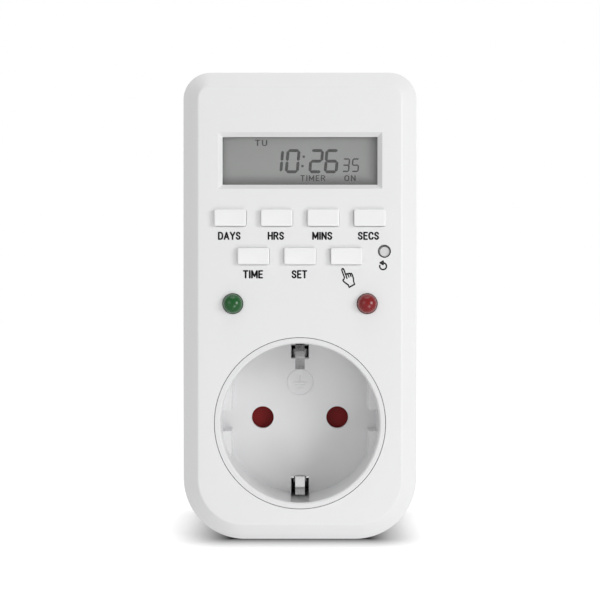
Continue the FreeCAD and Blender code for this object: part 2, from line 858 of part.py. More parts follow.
def make_shutter_spring():
    # flat coil of square wire round the shutter's post
    wire = size.spring_wire.number
    room = number(shutter_cover_inside) - number(shutter_front) - size.shutter_hub_thickness.number
    turns = 2
    pitch = (room - 3 * wire) / turns
    helix = Part.makeHelix(pitch, pitch * turns, size.spring_radius.number)
    start = FreeCAD.Vector(size.spring_radius.number, 0, 0)
    half = wire / 2
    corners = [start + FreeCAD.Vector(a * half, 0, b * half)
               for a, b in ((-1, -1), (1, -1), (1, 1), (-1, 1), (-1, -1))]
    coil = helix.makePipeShell([Part.makePolygon(corners)], True, True)
    spring = doc.addObject("Part::Feature", "shutter_spring_shape")
    spring.Shape = coil
    spring.Placement = FreeCAD.Placement(
        FreeCAD.Vector(0, number(shutter_front) + size.shutter_hub_thickness.number + 1.2 * wire,
                       number(outlet_z)), turn_along["y"])
    piece(spring, "shutter_spring")


def make_shutter_cover():
    plate = rod("shutter_plate", shutter_cover_radius, nothing,
                (well_floor_back, shutter_cover_back), outlet_z)
    tools = [rod("shutter_room", size.shutter_room_radius, nothing,
                 (well_floor_back - overrun, shutter_cover_inside), outlet_z)]
    tools += [rod(f"cover_pin_hole_{side + 1}", size.pin_hole_radius + size.cover_hole_gap,
                  pin_x * side, (shutter_cover_inside - overrun, shutter_cover_back + overrun),
                  outlet_z) for side in sides]
    piece(cut("shutter_cover_shape", plate, *tools), "shutter_cover")


def make_contact_block():
    block = common("contact_block_round",
                   rod("contact_block_rod", size.contact_block_radius, nothing,
                       (block_front, block_back), outlet_z),
                   box("contact_block_box", pair(nothing, size.contact_block_radius),
                       (block_front, block_back), pair(outlet_z, size.contact_block_half_height)))
    sleeve = size.contact_bore + size.contact_wall + size.contact_room
    tools = [rod(f"contact_room_{side + 1}", sleeve, pin_x * side,
                 (block_front - overrun, block_back + overrun), outlet_z) for side in sides]
    tail = (tail_x[0] - size.part_clearance, tail_x[1] + size.part_clearance)
    tall = (outlet_z - size.tail_room_drop, outlet_z + size.contact_block_half_height + overrun)
    tools.append(box("tail_room", tail, (tail_y - size.strip_thickness * 1.5,
                                         block_back + overrun), tall))
    piece(cut("contact_block_shape", block, *tools), "contact_block")


def make_contacts():
    for side, label in ((-1, "contact_left"), (1, "contact_right")):
        x = pin_x * side
        span = (contact_front, contact_back)
        sleeve = rod(label + "_sleeve", sleeve_outer, x, span, outlet_z)
        bore = rod(label + "_bore", size.contact_bore, x,
                   (contact_front - overrun, contact_back + overrun), outlet_z)
        slit = box(label + "_slit", pair(x, size.contact_slit / 2),
                   (contact_front - overrun, contact_back - size.contact_collar),
                   pair(outlet_z, sleeve_outer + overrun))
        piece(cut(label + "_shape", sleeve, bore, slit), label)
    rise = size.power_board_foot + size.link_rise
    board_end = power_board[1] + size.strip_thickness / 2
    piece(strip("switched_link_shape", tail_x,
                [(tail_y, outlet_z - size.tail_drop), (tail_y, rise), (board_end, rise)]),
          "switched_link")
    for side, label in ((-1, "live_link"), (1, "neutral_link")):
        x = pin_x * side
        piece(strip(label + "_shape", pair(x, size.link_width / 2),
                    [(link_middle, outlet_z - size.link_drop), (link_middle, rise),
                     (board_end, rise)]), label)
    make_pin_tab()


def make_pin_tab():
    # joins the neutral contact to its busbar
    tab = box("neutral_tab_shape", pair(pin_x, size.neutral_tab_width / 2),
              (contact_back, link_front), (outlet_z + size.contact_bore, outlet_z + sleeve_outer))
    piece(tab, "neutral_tab")


def make_earth_parts():
    strap = size.earth_strap_radius
    steps = [
        (depth(size.earth_tip_depth), size.earth_tip_radius),
        (depth(size.earth_tip_depth), size.earth_bend_radius),
        (depth(size.earth_knee_depth), size.earth_knee_radius),
        (depth(size.earth_strap_depth), strap),
        (strap_middle, strap),
    ]
    upper = [(y, outlet_z + radius) for y, radius in steps]
    lower = [(y, outlet_z - radius) for y, radius in reversed(steps)]
    finger = strip("earth_fingers", pair(nothing, size.earth_finger_width / 2), upper + lower)
    base = strip("earth_base", pair(nothing, size.earth_base_width / 2), upper + lower)
    wide = common("earth_wide", base,
                  box("earth_wide_limit", pair(nothing, size.earth_base_width),
                      (well_floor_back, block_front),
                      pair(outlet_z, size.earth_tip_radius)))
    piece(fuse("earth_yoke_shape", finger, wide), "earth_yoke")

    reach = plug_earth_end
    radius = size.plug_earth_radius
    loop = [(reach, outlet_z + radius), (link_middle, outlet_z + radius),
            (link_middle, outlet_z - radius), (reach, outlet_z - radius)]
    piece(strip("plug_earth_strip_shape", pair(nothing, size.plug_earth_width / 2), loop),
          "plug_earth_strip")
    link_top = outlet_z - size.contact_block_half_height - size.earth_link_gap
    link = box("earth_link_shape", pair(nothing, size.earth_base_width / 2),
               (strap_middle + size.strip_thickness / 2, link_front),
               (link_top - size.earth_link_thickness, link_top))
    piece(link, "earth_link")


def make_plug():
    bevel = size.plug_bevel
    profile = [
        (plug_flange_front, nothing),
        (plug_flange_front, size.plug_flange_radius),
        (back_inside, size.plug_flange_radius),
        (back_inside, size.plug_radius),
        (plug_face - bevel, size.plug_radius),
        (plug_face, size.plug_radius - bevel),
        (plug_face, nothing),
    ]
    round_body = turned("plug_round", nothing, outlet_z, profile)
    tools = []
    outer = size.plug_flange_radius + overrun
    for side in sides:
        edge = sorted((size.plug_side_reach * side, outer * side), key=number)
        flank = box(f"plug_flank_{side + 1}", tuple(edge), (back, plug_face + overrun),
                    pair(outlet_z, outer))
        rib_edge = sorted(((size.plug_side_reach - overrun) * side, size.plug_rib_reach * side),
                          key=number)
        rib = box(f"plug_rib_{side + 1}", tuple(rib_edge), (back - overrun, plug_face - bevel),
                  pair(outlet_z, size.plug_rib_height / 2))
        tools.append(cut(f"plug_flank_cut_{side + 1}", flank, rib))
        tools.append(rod(f"plug_pin_bore_{side + 1}",
                         size.plug_pin_shank_radius + size.plug_pin_fit, pin_x * side,
                         (plug_flange_front - overrun, plug_face + overrun), outlet_z))
    groove = size.plug_earth_width / 2 + size.part_clearance
    deep = size.plug_earth_radius - size.strip_thickness / 2 - size.part_clearance
    for name, low, high in (("upper", outlet_z + deep, outlet_z + outer),
                            ("lower", outlet_z - outer, outlet_z - deep)):
        tools.append(box(name + "_plug_groove", pair(nothing, groove),
                         (plug_flange_front - overrun,
                          plug_earth_end + size.strip_thickness / 2 + size.part_clearance),
                         (low, high)))
    piece(cut("plug_body_shape", round_body, *tools), "plug_body")
    tip = size.plug_pin_tip
    for side, label in ((-1, "plug_pin_left"), (1, "plug_pin_right")):
        pin_profile = [
            (pin_head_front, nothing),
            (pin_head_front, size.plug_pin_head_radius),
            (plug_flange_front, size.plug_pin_head_radius),
            (plug_flange_front, size.plug_pin_shank_radius),
            (plug_face, size.plug_pin_shank_radius),
            (plug_face, size.plug_pin_radius),
            (pin_end - tip, size.plug_pin_radius),
            (pin_end - tip * 0.3, size.plug_pin_radius - tip * 0.45),
            (pin_end, size.plug_pin_radius - tip),
            (pin_end, nothing),
        ]
        piece(turned(label + "_body", pin_x * side, outlet_z, pin_profile), label)


def make_display():
    window_x = pair(nothing, size.display_opening_width / 2 - size.display_slope
                    + size.window_margin - size.part_clearance)
    window_z = pair(size.display_height, size.display_opening_height / 2 - size.display_slope
                    + size.window_margin - size.part_clearance)
    window_front = depth(size.display_slope_depth)
    piece(box("lcd_window_shape", window_x,
              (window_front, window_front + size.window_thickness), window_z), "lcd_window")
    glass_front = depth(size.display_glass_depth)
    glass = (glass_front, glass_front + size.display_glass_thickness)
    half_x, half_z = size.display_glass_width / 2, size.display_glass_height / 2
    piece(box("lcd_panel_shape", pair(nothing, half_x), glass,
              pair(size.display_height, half_z)), "lcd_panel")
    margin = size.holder_margin
    holder_front = window_front + size.window_thickness + size.part_clearance
    holder = box("holder_block", pair(nothing, half_x + margin), (holder_front, control_board[0]),
                 pair(size.display_height, half_z + margin))
    room = box("glass_room", pair(nothing, half_x + size.part_clearance),
               (holder_front - overrun, glass[1]),
               pair(size.display_height, half_z + size.part_clearance))
    zebra_slots, zebras = [], []
    for side in sides:
        middle = size.display_height + (half_z - size.zebra_thickness) * side
        zebra_slots.append(box(f"zebra_slot_{side + 1}",
                               pair(nothing, size.zebra_width / 2 + size.part_clearance),
                               (glass[1] - overrun, control_board[0] + overrun),
                               pair(middle, size.zebra_thickness / 2 + size.part_clearance)))
        zebras.append(box(f"zebra_{side + 1}", pair(nothing, size.zebra_width / 2),
                          (glass[1], control_board[0]), pair(middle, size.zebra_thickness / 2)))
    piece(cut("lcd_holder_shape", holder, room, *zebra_slots), "lcd_holder")
    piece(group("zebra_strips_shape", *zebras), "zebra_strips")


def make_keys():
    cap_front = front - size.key_proud
    for name, (x, z) in key_places.items():
        cap, cap_end = moulding(name + "_cap", pair(x, size.key_width / 2), (cap_front, flange_front),
                                pair(z, size.key_height / 2), size.key_corner_radius,
                                size.key_corner_radius)
        cap.Tip = rounded(cap, cap_end, name + "_edge", size.key_edge_radius, lies_at_y(cap_front))
        flange = box(name + "_flange", pair(x, size.key_width / 2 + size.key_flange),
                     (flange_front, flange_front + size.key_flange_thickness),
                     pair(z, size.key_height / 2 + size.key_flange))
        stem = rod(name + "_stem", size.key_stem_radius, x,
                   (flange_front + size.key_flange_thickness / 2, depth(size.key_stem_depth)), z)
        piece(fuse(name + "_shape", cap, flange, stem), name)


def make_keypad_mat():
    mat_front = control_board[0] - size.mat_thickness
    dome_top = depth(size.key_stem_depth) + size.dome_gap
    outer_x = size.key_pitch * 1.5 + size.dome_base_radius + size.mat_side_margin
    sheet_part = box("mat_sheet", pair(nothing, outer_x), (mat_front, control_board[0]),
                     (size.lower_key_height - size.dome_base_radius - size.mat_foot_margin,
                      size.upper_key_height + size.dome_base_radius + size.mat_top_margin))
    domes = [taper(name + "_dome", size.dome_top_radius, size.dome_base_radius, x,
                   (dome_top, mat_front + size.mat_thickness / 2), z)
             for name, (x, z) in key_places.items()]
    reset_room = rod("mat_reset_hole", size.mat_reset_room, size.reset_offset,
                     (mat_front - overrun, control_board[0] + overrun), size.reset_height)
    piece(cut("keypad_mat_shape", fuse("mat_solid", sheet_part, *domes), reset_room),
          "keypad_mat")


def make_reset():
    profile = [
        (depth(size.reset_recess), nothing),
        (depth(size.reset_recess), size.reset_plunger_radius),
        (flange_front, size.reset_plunger_radius),
        (flange_front, size.reset_flange_radius),
        (flange_front + size.key_flange_thickness, size.reset_flange_radius),
        (flange_front + size.key_flange_thickness, size.reset_plunger_radius / 2),
        (depth(size.reset_stem_depth), size.reset_plunger_radius / 2),
        (depth(size.reset_stem_depth), nothing),
    ]
    piece(turned("reset_body", size.reset_offset, size.reset_height, profile), "reset_button")
    half = size.reset_switch_size / 2
    case_front = control_board[0] - size.reset_switch_thickness
    case = box("reset_switch_case", pair(size.reset_offset, half), (case_front, control_board[0]),
               pair(size.reset_height, half))
    knob_front = depth(size.reset_stem_depth) + size.reset_travel + size.reset_switch_gap
    knob = rod("reset_switch_knob", size.reset_knob_radius, size.reset_offset,
               (knob_front, case_front + root), size.reset_height)
    piece(fuse("reset_switch_shape", case, knob), "reset_switch")


def make_lamps():
    leads = []
    lamp_back = flange_front + size.lamp_flange_thickness
    for side, label in ((-1, "led_green"), (1, "led_red")):
        x = size.lamp_offset * side
        dome = ball(label + "_dome", size.lamp_radius, x, front, size.lamp_height)
        barrel = rod(label + "_barrel", size.lamp_radius, x, (front, flange_front + root),
                     size.lamp_height)
        flange = rod(label + "_flange", size.lamp_flange_radius, x, (flange_front, lamp_back),
                     size.lamp_height)
        piece(fuse(label + "_shape", dome, barrel, flange), label)
        for lead_side in sides:
            leads.append(rod(f"{label}_lead_{lead_side + 1}", size.lamp_lead_radius,
                             x + size.header_pin_pitch / 2 * lead_side,
                             (lamp_back, control_board[0]), size.lamp_height))
    piece(group("led_leads_shape", *leads), "led_leads")


def board(label, y, z, screw_places):
    plate = box(label + "_plate", pair(nothing, board_half), y, z)
    holes = [rod(f"{label}_hole_{n}", size.board_screw_radius + size.part_clearance, x,
                 (y[0] - overrun, y[1] + overrun), height) for n, (x, height) in enumerate(screw_places, 1)]
    piece(cut(label + "_shape", plate, *holes), label)


def board_screws(label, seat, screw_places, length):
    screws = []
    for n, (x, z) in enumerate(screw_places, 1):
        low, high = (seat, seat + size.board_screw_head)
        head = rod(f"{label}_head_{n}", size.board_screw_head_radius, x, (low, high), z)
        ends = (low - length, low + root)
        screws.append(fuse(f"{label}_{n}", head,
                           rod(f"{label}_shank_{n}", size.board_screw_radius, x, ends, z)))
    piece(group(label + "_shape", *screws), label)


def make_control_board():
    board("control_pcb", control_board, (size.control_board_foot, size.control_board_top),
          control_screw_places)
    board_screws("control_pcb_screws", control_board[1], control_screw_places,
                 size.board_thickness + size.board_screw_bite)
    behind = control_board[1]
    half = size.controller_side / 2
    piece(box("mcu_shape", pair(size.controller_offset, half),
              (behind, behind + size.controller_thickness), pair(size.upper_key_height, half)),
          "mcu")
    crystal_y = behind + size.crystal_radius + size.solder_gap
    piece(rod("crystal_shape", size.crystal_radius,
              (size.crystal_offset, size.crystal_offset + size.crystal_length), crystal_y,
              size.lower_key_height), "crystal")
    battery = (behind + size.battery_gap, behind + size.battery_gap + size.battery_thickness)
    piece(rod("backup_battery_shape", size.battery_radius, size.battery_offset, battery,
              size.battery_height), "backup_battery")
    foot = size.battery_height - size.battery_radius - size.clip_foot_reach
    top = size.battery_height + size.battery_radius + size.clip_foot_reach
    board_end = behind + size.strip_thickness / 2
    bridge = battery[1] + size.strip_thickness / 2
    piece(strip("battery_clip_shape", pair(size.battery_offset, size.clip_width / 2),
                [(board_end, foot), (bridge, foot), (bridge, top), (board_end, top)]),
          "battery_clip")
    pins = []
    for index in range(int(size.header_pins.number)):
        shift = (index - (size.header_pins - 1) / 2) * size.header_pin_pitch
        pins.append(rod(f"header_pin_{index + 1}", size.header_pin_radius,
                        shift + size.header_offset,
                        (behind, power_board[0]), size.control_board_top - size.header_drop))
    piece(group("board_header_shape", *pins), "board_header")


def make_power_board():
    board("power_pcb", power_board, (size.power_board_foot, size.power_board_top),
          power_screw_places)
    screws = []
    for n, (x, z) in enumerate(power_screw_places, 1):
        head = rod(f"power_screw_head_{n}", size.board_screw_head_radius, x,
                   (power_board[0] - size.board_screw_head, power_board[0]), z)
        shank = rod(f"power_screw_shank_{n}", size.board_screw_radius, x,
                    (power_board[0] - root, power_board[1] + size.power_screw_reach), z)
        screws.append(fuse(f"power_screw_{n}", head, shank))
    piece(group("power_pcb_screws_shape", *screws), "power_pcb_screws")
    behind = power_board[1]
    foot = size.power_board_foot

    def case(label, x, z, length):
        body, _ = moulding(label + "_case", x, (behind, behind + length), z,
                           size.front_edge_radius, size.front_edge_radius)
        piece(body, label)

    relay_x = size.relay_offset
    relay_top = foot + size.relay_rise + size.relay_height
    case("relay", (relay_x, relay_x + size.relay_width), (foot + size.relay_rise, relay_top),
         size.relay_length)
    film_x = relay_x - size.film_gap - size.film_width
    film_top = foot + size.film_rise + size.film_height
    case("film_capacitor", (film_x, film_x + size.film_width),
         (foot + size.film_rise, film_top), size.film_length)
    row = film_top + size.electrolytic_radius + size.row_gap
    can_pitch = size.electrolytic_radius * 2 + size.electrolytic_gap
    cans = [rod(f"electrolytic_{n}", size.electrolytic_radius,
                film_x + size.electrolytic_radius + can_pitch * n,
                (behind, behind + size.electrolytic_length), row) for n in (0, 1)]
    piece(group("electrolytic_capacitors_shape", *cans), "electrolytic_capacitors")
    diode_y = behind + size.diode_radius + size.solder_gap
    diode_foot = row + size.electrolytic_radius + size.diode_rise
    diode_x = film_x + size.diode_inset
    diodes = [rod(f"diode_{n}", size.diode_radius, (diode_x, diode_x + size.diode_length),
                  diode_y, diode_foot + n * (size.diode_radius * 2 + size.diode_gap))
              for n in range(4)]
    piece(group("diodes_shape", *diodes), "diodes")
    resistor_x = relay_x + size.resistor_inset
    resistor_z = relay_top + size.resistor_radius + size.row_gap
    piece(rod("power_resistor_shape", size.resistor_radius,
              (resistor_x, resistor_x + size.resistor_length),
              behind + size.resistor_radius + size.solder_gap, resistor_z), "power_resistor")
    fuse_z = resistor_z + size.resistor_radius + size.fuse_radius + size.fuse_gap
    piece(rod("fuse_shape", size.fuse_radius, (relay_x, relay_x + size.fuse_length),
              behind + size.fuse_radius + size.solder_gap, fuse_z), "fuse")
    varistor_x = relay_x + size.varistor_inset
    piece(rod("varistor_shape", size.varistor_radius,
              (varistor_x, varistor_x + size.varistor_thickness),
              behind + size.varistor_radius + size.solder_gap,
              fuse_z + size.fuse_radius + size.varistor_radius + size.varistor_gap), "varistor")


def make_housing_screws():
    screws = []
    seat = back - size.screw_sink
    for n, (x, z) in enumerate(housing_screw_places, 1):
        head = rod(f"housing_screw_head_{n}", size.screw_head_radius, x,
                   (seat, seat + size.screw_head), z)
        drive = rod(f"housing_screw_drive_{n}", size.screw_drive_radius, x,
                    (seat + size.screw_head / 2, seat + size.screw_head + overrun), z)
        shank = rod(f"housing_screw_shank_{n}", size.screw_radius, x,
                    (depth(size.screw_end_depth), seat + root), z)
        screws.append(cut(f"housing_screw_{n}", fuse(f"housing_screw_body_{n}", head, shank),
                          drive))
    piece(group("housing_screws_shape", *screws), "housing_screws")


make_front_cover()
make_rear_housing()
make_socket_insert()
make_shutter()
make_shutter_spring()
make_shutter_cover()
make_contact_block()
make_contacts()
make_earth_parts()
make_plug()
make_display()
make_keys()
make_keypad_mat()
make_reset()
make_lamps()
make_control_board()
make_power_board()
make_housing_screws()

doc.recompute()
for thing in doc.Objects:
    if "Invalid" in thing.State or "Error" in thing.State:
        raise ValueError(f"{thing.Label} did not rebuild")
for label, thing in pieces.items():
    if thing.Shape.isNull() or not thing.Shape.isValid():
        raise ValueError(f"{label} has no valid shape")

os.makedirs("parts", exist_ok=True)
for label, thing in pieces.items():
    thing.Shape.exportStep(f"parts/{label}.step")
    print(label, len(thing.Shape.Solids), round(thing.Shape.Volume, 2))
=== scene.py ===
# Plug-in timer switch: looks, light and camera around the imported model.
import bpy
import bmesh
import json
import math
from mathutils import Matrix, Vector


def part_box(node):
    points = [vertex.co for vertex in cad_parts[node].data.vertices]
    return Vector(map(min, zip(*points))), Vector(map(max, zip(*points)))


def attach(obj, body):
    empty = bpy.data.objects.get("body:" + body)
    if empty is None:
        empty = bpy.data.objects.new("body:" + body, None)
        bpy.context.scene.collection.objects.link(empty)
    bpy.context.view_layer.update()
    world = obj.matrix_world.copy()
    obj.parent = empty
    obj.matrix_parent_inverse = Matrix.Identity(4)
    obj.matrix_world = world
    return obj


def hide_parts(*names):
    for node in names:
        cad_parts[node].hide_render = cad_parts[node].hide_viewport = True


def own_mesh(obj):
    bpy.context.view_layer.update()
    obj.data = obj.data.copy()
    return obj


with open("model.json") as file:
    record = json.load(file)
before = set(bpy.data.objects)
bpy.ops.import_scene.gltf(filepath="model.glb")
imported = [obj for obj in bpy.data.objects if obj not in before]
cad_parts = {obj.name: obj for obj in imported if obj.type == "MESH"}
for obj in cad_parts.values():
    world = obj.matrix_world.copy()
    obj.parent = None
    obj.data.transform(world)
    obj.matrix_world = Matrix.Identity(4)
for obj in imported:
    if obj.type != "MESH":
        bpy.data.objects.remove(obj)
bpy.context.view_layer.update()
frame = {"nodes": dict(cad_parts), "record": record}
nodes = frame["nodes"]
mm = 0.001
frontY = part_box("front_cover")[0].y
housing = "housing"
upright = Matrix.Rotation(math.radians(90), 4, "X")


def spot(x, depth, z):
    # millimetres across, behind the flat front face, and up from the foot
    return Vector((x * mm, frontY + depth * mm, z * mm))


def middleOf(name):
    low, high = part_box(name)
    return (low + high) / 2


def added(name, data):
    # a new object in the scene
    item = bpy.data.objects.new(name, data)
    bpy.context.scene.collection.objects.link(item)
    return item


def meshFrom(bm, name):
    mesh = bpy.data.meshes.new(name)
    bm.to_mesh(mesh)
    bm.free()
    return mesh


def opaque(colour):
    return (*colour, 1)


def feed(tree, value, socket):
    # the value is another socket or a plain one
    if isinstance(value, bpy.types.NodeSocket):
        tree.links.new(value, socket)
    else:
        socket.default_value = value


def mathNode(tree, operation, first, second=0):
    node = tree.nodes.new("ShaderNodeMath")
    node.operation = operation
    feed(tree, first, node.inputs[0])
    feed(tree, second, node.inputs[1])
    return node.outputs[0]


def distanceNode(tree, first, second):
    squares = [mathNode(tree, "MULTIPLY", side, side) for side in (first, second)]
    return mathNode(tree, "SQRT", mathNode(tree, "ADD", *squares))


def rangeNode(tree, value, start=0, end=1, low=0, high=1, way="LINEAR"):
    # start to end becomes low to high, and nothing goes past them
    node = tree.nodes.new("ShaderNodeMapRange")
    node.interpolation_type = way
    feed(tree, value, node.inputs["Value"])
    feed(tree, start, node.inputs["From Min"])
    feed(tree, end, node.inputs["From Max"])
    feed(tree, low, node.inputs["To Min"])
    feed(tree, high, node.inputs["To Max"])
    return node.outputs["Result"]


def colourMix(tree, factor, first, second):
    # the first colour where the factor is 0, and the second where it is 1
    node = tree.nodes.new("ShaderNodeMix")
    node.data_type = "RGBA"
    feed(tree, factor, node.inputs["Factor"])
    feed(tree, first, node.inputs["A"])
    feed(tree, second, node.inputs["B"])
    return node.outputs["Result"]


def placeAxes(tree):
    # x, y and z of a place on the surface, in metres
    place = tree.nodes.new("ShaderNodeTexCoord")
    axes = tree.nodes.new("ShaderNodeSeparateXYZ")
    tree.links.new(place.outputs["Object"], axes.inputs[0])
    return axes.outputs["X"], axes.outputs["Y"], axes.outputs["Z"]


def splitRays(tree, given, seen, outputKind):
    # the camera sees one shader, also through the clear window, and the object is lit by the other
    path = tree.nodes.new("ShaderNodeLightPath")
    rays = mathNode(tree, "MAXIMUM", path.outputs["Is Camera Ray"],
                    path.outputs["Is Transmission Ray"])
    mix = tree.nodes.new("ShaderNodeMixShader")
    tree.links.new(rays, mix.inputs["Fac"])
    tree.links.new(given, mix.inputs[1])
    tree.links.new(seen, mix.inputs[2])
    out = tree.nodes.new(outputKind)
    tree.links.new(mix.outputs[0], out.inputs["Surface"])


print("stage: camera, floor and light")

# all in millimetres
cameraSettings = {
    "distance": 337.5,
    "height": 58.4,
    "lens": 83.5,
    "sensor": 36.0,
    "nearest": 10,
}


def makeCamera():
    data = bpy.data.cameras.new("photoCamera")
    data.lens = cameraSettings["lens"]
    data.sensor_width = cameraSettings["sensor"]
    data.clip_start = cameraSettings["nearest"] * mm
    camera = added("photoCamera", data)
    camera.location = spot(0, -cameraSettings["distance"], cameraSettings["height"])
    camera.rotation_euler = (math.radians(90), 0, 0)
    bpy.context.scene.camera = camera


makeCamera()

# places and sizes in millimetres, power in watts
lampSettings = {
    "key": {"place": (660, -560, 190), "size": 400, "power": 2.85},
    "fill": {"place": (-560, -640, 200), "size": 600, "power": 0.95},
    "low": {"place": (260, -520, -300), "size": 300, "power": 0.75},
    "top": {"place": (0, -60, 700), "size": 500, "power": 0.9},
}
lampTarget = (0, 20, 55)


def makeLamps():
    target = spot(*lampTarget)
    for name, settings in lampSettings.items():
        data = bpy.data.lights.new(name + "Lamp", "AREA")
        data.shape = "DISK"
        data.size = settings["size"] * mm
        data.energy = settings["power"]
        lamp = added(name + "Lamp", data)
        lamp.location = spot(*settings["place"])
        lamp.rotation_euler = (target - lamp.location).to_track_quat("-Z", "Y").to_euler()


makeLamps()

# strength of the white room, as it lights the object and as the camera sees it
worldSettings = {"given": 0.45, "seen": 1.0}


def makeWorld():
    world = bpy.data.worlds.new("paleRoom")
    world.use_nodes = True
    tree = world.node_tree
    tree.nodes.clear()
    shaders = []
    for strength in (worldSettings["given"], worldSettings["seen"]):
        background = tree.nodes.new("ShaderNodeBackground")
        background.inputs["Color"].default_value = opaque((1, 1, 1))
        background.inputs["Strength"].default_value = strength
        shaders.append(background.outputs[0])
    splitRays(tree, *shaders, "ShaderNodeOutputWorld")
    bpy.context.scene.world = world


makeWorld()
bpy.context.scene.view_settings.view_transform = "Standard"

# the foot is the rectangle from which the shade fades, in millimetres
floorSettings = {
    "half": 3000,
    "colour": (0.9, 0.9, 0.9),
    "glow": 0.62,
    "footHalfWidth": 16.9,
    "footFront": 3.0,
    "footBack": 41.0,
    "fadeOver": 24.0,
    "fadePower": 2,
    "darkest": 0.02,
}


def pastSpan(tree, place, middle, half):
    # how far the place is outside of the span, and 0 within it
    away = mathNode(tree, "ABSOLUTE", mathNode(tree, "SUBTRACT", place, middle))
    return mathNode(tree, "MAXIMUM", mathNode(tree, "SUBTRACT", away, half), 0)


def contactShade(tree):
    # 1 on the open floor, falling to darkest at the edge of the object's foot
    across, along, _ = placeAxes(tree)
    front = spot(0, floorSettings["footFront"], 0).y
    back = spot(0, floorSettings["footBack"], 0).y
    aside = pastSpan(tree, across, 0, floorSettings["footHalfWidth"] * mm)
    ahead = pastSpan(tree, along, (front + back) / 2, (back - front) / 2)
    near = rangeNode(tree, distanceNode(tree, aside, ahead), end=floorSettings["fadeOver"] * mm,
                     low=1, high=0)
    lost = mathNode(tree, "POWER", near, floorSettings["fadePower"])
    return mathNode(tree, "SUBTRACT", 1,
                    mathNode(tree, "MULTIPLY", lost, 1 - floorSettings["darkest"]))


def floorPaper():
    # the camera sees it shaded and with a glow, and the object gets light from plain paper
    material = bpy.data.materials.new("floorPaper")
    material.use_nodes = True
    tree = material.node_tree
    tree.nodes.clear()
    shade = contactShade(tree)
    given = tree.nodes.new("ShaderNodeBsdfDiffuse")
    given.inputs["Color"].default_value = opaque(floorSettings["colour"])
    tone = tree.nodes.new("ShaderNodeCombineColor")
    for socket, part in zip(tone.inputs, floorSettings["colour"]):
        tree.links.new(mathNode(tree, "MULTIPLY", shade, part), socket)
    seen = tree.nodes.new("ShaderNodeBsdfDiffuse")
    tree.links.new(tone.outputs[0], seen.inputs["Color"])
    glow = tree.nodes.new("ShaderNodeEmission")
    tree.links.new(mathNode(tree, "MULTIPLY", shade, floorSettings["glow"]),
                   glow.inputs["Strength"])
    total = tree.nodes.new("ShaderNodeAddShader")
    tree.links.new(seen.outputs[0], total.inputs[0])
    tree.links.new(glow.outputs[0], total.inputs[1])
    splitRays(tree, given.outputs[0], total.outputs[0], "ShaderNodeOutputMaterial")
    return material


def makeFloor():
    bm = bmesh.new()
    bmesh.ops.create_grid(bm, x_segments=4, y_segments=4, size=floorSettings["half"] * mm)
    floor = added("floor", meshFrom(bm, "floor"))
    floor.data.materials.append(floorPaper())
    # the low lamp stands under the floor and shines through it
    blockers = bpy.data.collections.new("lowLampBlockers")
    blockers.objects.link(floor)
    bpy.data.objects["lowLamp"].light_linking.blocker_collection = blockers
    blockers.collection_objects[0].light_linking.link_state = "EXCLUDE"


makeFloor()

print("stage: materials")

# scale is that of the fine grain, and grain its strength
plasticLooks = {
    "white_moulding": {"colour": (0.81, 0.81, 0.813), "rough": 0.42, "grain": 0.035, "scale": 2600},
    "outlet_white": {"colour": (0.79, 0.79, 0.795), "rough": 0.34, "grain": 0.02, "scale": 1800},
    "plug_white": {"colour": (0.82, 0.825, 0.835), "rough": 0.34, "grain": 0.02, "scale": 1800},
    "inner_white": {"colour": (0.76, 0.76, 0.75), "rough": 0.5, "grain": 0.04, "scale": 1500},
    "key_white": {"colour": (0.87, 0.87, 0.875), "rough": 0.34, "grain": 0.02, "scale": 2200},
    "reset_grey": {"colour": (0.66, 0.66, 0.66), "rough": 0.45, "grain": 0.03, "scale": 2200},
    "case_black": {"colour": (0.03, 0.03, 0.032), "rough": 0.45, "grain": 0.05, "scale": 2600},
    "shutter_red": {"colour": (0.18, 0.007, 0.008), "rough": 0.55, "grain": 0.03, "scale": 1800,
                    "shine": 0.2},
    "key_silicone": {"colour": (0.66, 0.66, 0.64), "rough": 0.6, "grain": 0.05, "scale": 1800},
    "zebra_rubber": {"colour": (0.3, 0.25, 0.25), "rough": 0.6, "grain": 0.05, "scale": 3000},
    "battery_sleeve": {"colour": (0.1, 0.27, 0.14), "rough": 0.35, "grain": 0.02, "scale": 900},
    "relay_case": {"colour": (0.035, 0.1, 0.3), "rough": 0.38, "grain": 0.02, "scale": 1500},
    "film_case": {"colour": (0.62, 0.42, 0.05), "rough": 0.4, "grain": 0.02, "scale": 1500},
    "can_sleeve": {"colour": (0.02, 0.025, 0.05), "rough": 0.32, "grain": 0.02, "scale": 900},
    "resistor_body": {"colour": (0.5, 0.42, 0.28), "rough": 0.55, "grain": 0.08, "scale": 2200},
    "varistor_blue": {"colour": (0.04, 0.12, 0.4), "rough": 0.35, "grain": 0.06, "scale": 900},
    "board_green": {"colour": (0.02, 0.11, 0.04), "rough": 0.35, "grain": 0.05, "scale": 900},
}
plasticFinish = {"detail": 2.0, "depth": 0.05, "shine": 0.5}

# along stretches the drawn lines
metalLooks = {
    "spring_steel": {"colour": (0.55, 0.55, 0.56), "rough": 0.28, "along": (1, 1, 12)},
    "contact_brass": {"colour": (0.72, 0.52, 0.2), "rough": 0.3, "along": (1, 8, 1)},
    "nickel_strip": {"colour": (0.43, 0.43, 0.43), "rough": 0.28, "along": (12, 1, 1)},
    "nickel_pin": {"colour": (0.78, 0.77, 0.74), "rough": 0.2, "along": (1, 10, 1)},
    "tinned_wire": {"colour": (0.66, 0.66, 0.66), "rough": 0.3, "along": (1, 1, 1)},
    "screw_steel": {"colour": (0.5, 0.5, 0.52), "rough": 0.32, "along": (1, 1, 1)},
    "can_metal": {"colour": (0.7, 0.7, 0.71), "rough": 0.25, "along": (8, 1, 1)},
}
metalFinish = {"strength": 0.05, "depth": 0.02}

